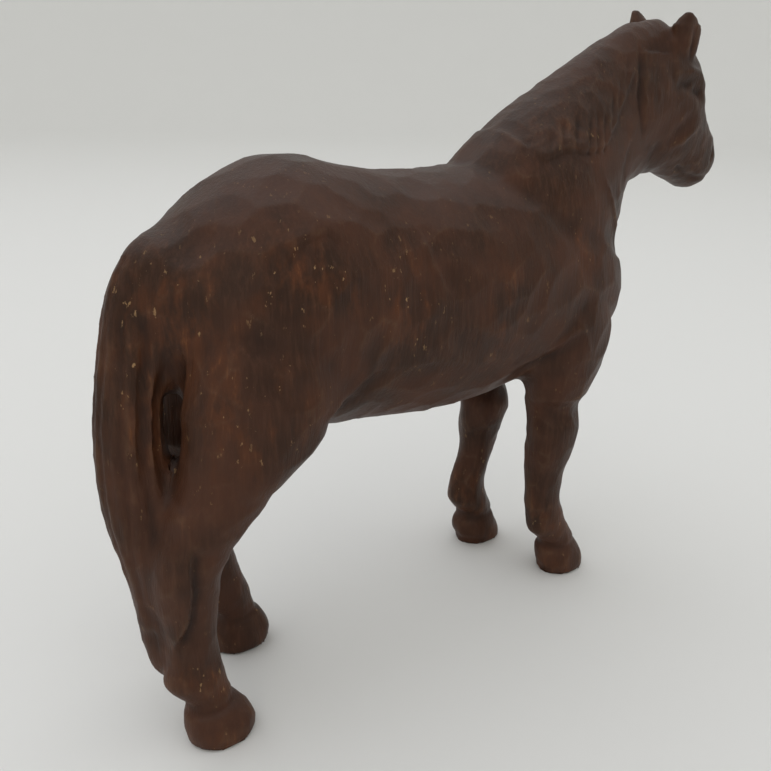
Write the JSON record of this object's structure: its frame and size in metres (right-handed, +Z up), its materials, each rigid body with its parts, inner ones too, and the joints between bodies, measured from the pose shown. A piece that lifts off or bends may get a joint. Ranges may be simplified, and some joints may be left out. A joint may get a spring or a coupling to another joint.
{
  "type": "carved wooden horse figurine",
  "caption": "Standing horse carved in dark-stained wood with visible gouge facets, head raised, tail hanging to the hock, resting on its hoof soles.",
  "frame": {"origin": "middle of the bounding box, on the surface that the soles rest on", "axes": "+X towards the nose, +Y towards the horse's left side, +Z up"},
  "size_m": [0.3227, 0.0821, 0.2585],
  "materials": {
    "carved_wood": "dark stain under thin satin wax"
  },
  "bodies": {
    "root": {"trunk": "carved_wood", "neck": "carved_wood", "head": "carved_wood", "left_ear": "carved_wood", "right_ear": "carved_wood", "left_foreleg": "carved_wood", "right_foreleg": "carved_wood", "left_hind_leg": "carved_wood", "right_hind_leg": "carved_wood", "tail": "carved_wood"}
  },
  "joints": []
}
